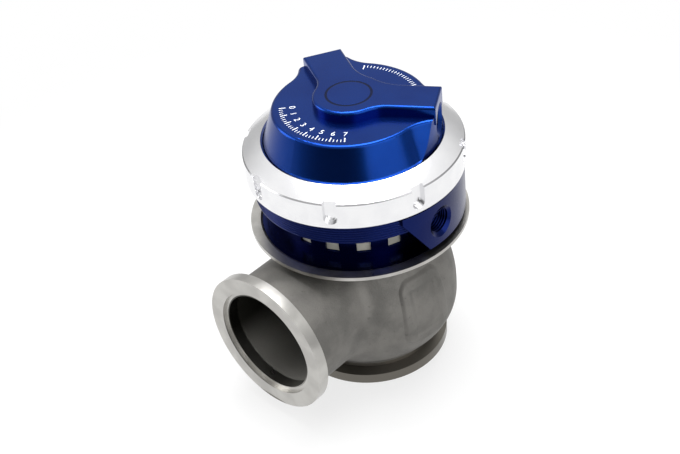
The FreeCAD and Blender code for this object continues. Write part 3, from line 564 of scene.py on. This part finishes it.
# %% Sheets standing in the windows
WINDOW_TURNS = [-157.5 + 22.5 * index for index in range(7)]
PALE_SHEET = grained("pale_sheet", (0.40, 0.39, 0.34, 1), rough=0.55, metallic=0.0, grain_size=0.8,
                     depth=0.03)


def window_blanks(radius, thick, wide, low, high):
    """One small box in every window, square to its own radius."""
    sheets = bmesh.new()
    for turn in WINDOW_TURNS:
        place = (Matrix.Rotation(math.radians(turn), 4, "Z")
                 @ Matrix.Translation((radius, 0, (low + high) / 2))
                 @ Matrix.Diagonal((thick, wide, high - low, 1)))
        bmesh.ops.create_cube(sheets, size=1, matrix=place)
    mesh = bpy.data.meshes.new("window_blanks")
    sheets.to_mesh(mesh)
    sheets.free()
    return new_piece("window_blanks", mesh, "housing", PALE_SHEET)


window_blanks(radius=26.3 * MM, thick=0.4 * MM, wide=4.7 * MM, low=60.05 * MM, high=63.1 * MM)


# %% [markdown]
# ## Etched scale
# The shoulder of the cap carries white laser marks. A plain scale of ticks and small numbers suits a
# cap that is clocked by hand. Each tick is one flat four-cornered face lying just above the metal. The
# figures are text objects that are made into mesh before they are turned into place.

# %% Ticks and figures on the shoulder
SHOULDER_TOP = 102.0 * MM
MARK_RISE = 0.03 * MM
MARK_LEVEL = Vector((0, 0, SHOULDER_TOP + MARK_RISE))
LONG_HALF, SHORT_HALF = 0.20 * MM, 0.13 * MM


def white_mark():
    """The pale, slightly uneven white of a laser mark on a blue skin."""
    ink = Finish("etched_white", roughness=0.55)
    cloud = ink.noise(0.6 * MM, 2)
    ink.set(base_color=ink.mix(cloud.step(0.3, 0.7), (0.80, 0.83, 0.88, 1), (0.68, 0.72, 0.80, 1)))
    return ink.material


WHITE = white_mark()


def scale_marks(name, first, last, step, outer, short, long, every):
    """Ticks at equal angles, long ones at each `every`, as one flat mesh."""
    sheet = bmesh.new()
    count = round((last - first) / step)
    for index in range(count + 1):
        is_long = index % every == 0
        turn = math.radians(first + index * step)
        along = Vector((math.cos(turn), math.sin(turn), 0))
        across = Vector((-math.sin(turn), math.cos(turn), 0))
        half = LONG_HALF if is_long else SHORT_HALF
        inner = outer - (long if is_long else short)
        corners = [along * radius + across * side for radius, side in
                   ((inner, -half), (outer, -half), (outer, half), (inner, half))]
        sheet.faces.new([sheet.verts.new(corner + MARK_LEVEL) for corner in corners])
    mesh = bpy.data.meshes.new(name)
    sheet.to_mesh(mesh)
    sheet.free()
    return new_piece(name, mesh, "cap", WHITE)


def figure(name, text, size, radius, turn):
    """A small number that reads from outside the cap, its foot towards the rim."""
    words = bpy.data.curves.new(name, "FONT")
    words.body, words.size, words.align_x, words.align_y = text, size, "CENTER", "CENTER"
    words.offset = 0.004 * size
    holder = bpy.data.objects.new(f"{name}_text", words)
    bpy.context.collection.objects.link(holder)
    place = (Matrix.Rotation(math.radians(turn), 4, "Z")
             @ Matrix.Translation(Vector((radius, 0, 0)) + MARK_LEVEL) @ Matrix.Rotation(math.pi / 2, 4, "Z"))
    return new_piece(name, evaluated_mesh(holder), "cap", WHITE, place)


SCALE_FIRST, SCALE_LAST, TICK_STEP, TICKS_A_FIGURE = -136, -52, 3, 4
scale_marks("scale_front", SCALE_FIRST, SCALE_LAST, TICK_STEP, outer=23.6 * MM, short=1.3 * MM,
            long=2.3 * MM, every=TICKS_A_FIGURE)
for number, turn in enumerate(range(SCALE_FIRST, SCALE_LAST + 1, TICK_STEP * TICKS_A_FIGURE)):
    figure(f"figure_{number}", str(number), size=3.0 * MM, radius=19.2 * MM, turn=turn)

BACK_FIRST, BACK_LAST = 62, 119
BACK_STEPS = (BACK_LAST - BACK_FIRST) // TICK_STEP
scale_marks("scale_back", BACK_FIRST, BACK_LAST, TICK_STEP, outer=23.9 * MM, short=1.4 * MM,
            long=2.6 * MM, every=BACK_STEPS)


# %% [markdown]
# ## Raised cast pad
# The side of the casting carries a raised pad with a rounded border, part of the mould. It must hug a
# body that curves in two directions. So a grid is laid over an angle and a height, each point is dropped
# onto the casting by a ray towards the axis, and then lifted by a height that depends on its distance
# from the pad's rounded outline.

# %% Drop a pad onto the casting
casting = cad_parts["valve_housing"]
casting_tree = BVHTree.FromPolygons([v.co for v in casting.data.vertices],
                                    [p.vertices for p in casting.data.polygons])
RAY_START = 80 * MM
PAD_SKIN_R = 33 * MM
PAD_MARGIN = 1.06
BORDER_RISE, FIELD_DROP = 1.05, 0.62
SKIN_SINK, SHELL_DEEP = 0.12, 0.9 * MM


def casting_radius(turn, level):
    """How far the casting's skin is from the valve axis at an angle and height."""
    outwards = Vector((math.cos(turn), math.sin(turn), 0))
    reach = casting_tree.ray_cast(outwards * RAY_START + Vector((0, 0, level)), -outwards, RAY_START)[3]
    return RAY_START - reach


def smooth(value, low, high):
    """0 below low, 1 above high, smooth between."""
    part = min(max((value - low) / (high - low), 0), 1)
    return part * part * (3 - 2 * part)


def cast_pad(name, middle, half_angle, low, high, corner, columns=72, rows=84):
    """A closed shell whose outer skin is the casting's own, lifted inside a rounded outline."""
    wide, tall = half_angle * PAD_SKIN_R, (high - low) / 2
    outer, inner = [], []
    for row in range(rows + 1):
        for column in range(columns + 1):
            u, v = (2 * column / columns - 1) * PAD_MARGIN, (2 * row / rows - 1) * PAD_MARGIN
            x, y = abs(u) * wide - (wide - corner), abs(v) * tall - (tall - corner)
            inside = corner - (math.hypot(max(x, 0), max(y, 0)) + min(max(x, y), 0))
            rise = (BORDER_RISE * smooth(inside, -0.4 * MM, 1.4 * MM)
                    - FIELD_DROP * smooth(inside, 3.6 * MM, 5.2 * MM))
            turn, level = middle + u * half_angle, (low + high) / 2 + v * tall
            radius = casting_radius(turn, level)
            outwards = Vector((math.cos(turn), math.sin(turn), 0))
            outer.append(outwards * (radius + (rise - SKIN_SINK) * MM) + Vector((0, 0, level)))
            inner.append(outwards * (radius - SHELL_DEEP) + Vector((0, 0, level)))
    width = columns + 1
    grid = [(r * width + c, r * width + c + 1, (r + 1) * width + c + 1, (r + 1) * width + c)
            for r in range(rows) for c in range(columns)]
    count = len(outer)
    border = (list(range(width)) + [r * width + columns for r in range(1, rows + 1)]
              + [rows * width + c for c in range(columns - 1, -1, -1)]
              + [r * width for r in range(rows - 1, 0, -1)])
    rim = [(a, a + count, b + count, b) for a, b in zip(border, border[1:] + border[:1])]
    mesh = bpy.data.meshes.new(name)
    mesh.from_pydata(outer + inner, [], grid + [tuple(count + i for i in reversed(f)) for f in grid] + rim)
    shell = bmesh.new()
    shell.from_mesh(mesh)
    bmesh.ops.recalc_face_normals(shell, faces=shell.faces)
    shell.to_mesh(mesh)
    shell.free()
    mesh.shade_smooth()
    return new_piece(name, mesh, "housing", CAST_STEEL)


cast_pad("cast_pad", middle=math.radians(-7), half_angle=math.radians(18), low=17.5 * MM, high=44.5 * MM,
         corner=5 * MM)


# %% [markdown]
# ## Studio
# A pale floor under a white sky. Polished metal only looks like metal when it has something to
# reflect: a soft light overhead for the bright edges, a mid grey room behind, and a darker room on the
# viewer's side that gives the blue wall its depth. The camera itself sees plain white.

# %% Floor
FLOOR_HALF = 3.0
FLOOR_LEVEL = -0.05 * MM
FLOOR_WHITE = 0.70
MIRROR_WHITE = 0.85
WHITE_LIGHT = (1, 1, 1, 1)
VIEWER_SIDE = Vector((math.cos(VIEW_TURN - math.pi / 2), math.sin(VIEW_TURN - math.pi / 2), 0))


def make_floor():
    """A plane that keeps a soft shadow near the part and is plain white further out."""
    mesh = bpy.data.meshes.new("floor")
    mesh.from_pydata([(-FLOOR_HALF, -FLOOR_HALF, FLOOR_LEVEL), (FLOOR_HALF, -FLOOR_HALF, FLOOR_LEVEL),
                      (FLOOR_HALF, FLOOR_HALF, FLOOR_LEVEL), (-FLOOR_HALF, FLOOR_HALF, FLOOR_LEVEL)],
                     [], [(0, 1, 2, 3)])
    floor = bpy.data.objects.new("floor", mesh)
    bpy.context.collection.objects.link(floor)
    pale = Finish("pale_floor", roughness=0.9, base_color=(0.80, 0.80, 0.80, 1))
    camera = pale.node("ShaderNodeLightPath", out="Is Camera Ray")
    mirror = pale.node("ShaderNodeLightPath", out="Is Glossy Ray")
    outwards = pale.radius().step(0.10, 0.26)
    nearer = (pale.x * VIEWER_SIDE.x + pale.y * VIEWER_SIDE.y).step(0.15, 0.45)
    glow = pale.node("ShaderNodeEmission",
                     sockets={"Color": WHITE_LIGHT, "Strength": 1 - mirror * nearer * 0.85})
    fill = camera * (FLOOR_WHITE + outwards * (1 - FLOOR_WHITE)) + mirror * MIRROR_WHITE
    surface = pale.node("ShaderNodeMixShader", sockets={0: fill, 2: glow})
    pale.tree.links.new(pale.shader.outputs[0], surface.socket.node.inputs[1])
    pale.tree.links.new(surface.socket, pale.tree.nodes["Material Output"].inputs["Surface"])
    mesh.materials.append(pale.material)


make_floor()
print("floor:", 2 * FLOOR_HALF, "m square")


# %% [markdown]
# The world does three jobs, told apart by the kind of ray that meets it. The camera sees white. Matt
# surfaces get an even soft light. Reflections see a room that is white overhead, grey behind the part
# and nearly dark on the viewer's side.

# %% World: white to the camera, a studio to the metal
BACK_GREY, FRONT_GREY = 0.55, 0.09
SOFT_LIGHT = 0.62


def make_world():
    """White for the camera, an even soft light for matt surfaces, and a graded room for reflections."""
    world = bpy.data.worlds.new("studio")
    bpy.context.scene.world = world
    world.use_nodes = True
    sky = Graph(world.node_tree, "Generated")
    nearer = (sky.x * VIEWER_SIDE.x + sky.y * VIEWER_SIDE.y).step(0.0, 0.75)
    room = BACK_GREY - nearer * (BACK_GREY - FRONT_GREY)
    graded = room + sky.z.step(0.20, 0.75) * (1 - room)
    mirror = sky.node("ShaderNodeLightPath", out="Is Glossy Ray")
    camera = sky.node("ShaderNodeLightPath", out="Is Camera Ray")
    lit = SOFT_LIGHT + mirror * (graded - SOFT_LIGHT)
    background = world.node_tree.nodes["Background"]
    sky.feed(background.inputs["Color"], WHITE_LIGHT)
    sky.feed(background.inputs["Strength"], lit + camera * (1 - lit))


make_world()
print("world:", bpy.context.scene.world.name)


# %% [markdown]
# Three soft lamps do the modelling: the strongest hangs overhead and a little behind, which draws the
# bright lines along rounded edges, and two weaker ones open the left and the right side.

# %% Lamps
def make_lamp(name, place, size, power):
    """A square soft light of the given size that looks at the part."""
    data = bpy.data.lights.new(name, "AREA")
    data.shape, data.size, data.energy = "SQUARE", size, power
    lamp = bpy.data.objects.new(name, data)
    lamp.location = place
    lamp.rotation_euler = (AIM - Vector(place)).to_track_quat("-Z", "Y").to_euler()
    bpy.context.collection.objects.link(lamp)


make_lamp("overhead", (-0.10, 0.14, 0.95), 0.60, 11)
make_lamp("left", (-0.80, -0.50, 0.45), 0.5, 3.2)
make_lamp("right", (0.85, -0.10, 0.40), 0.9, 4.5)
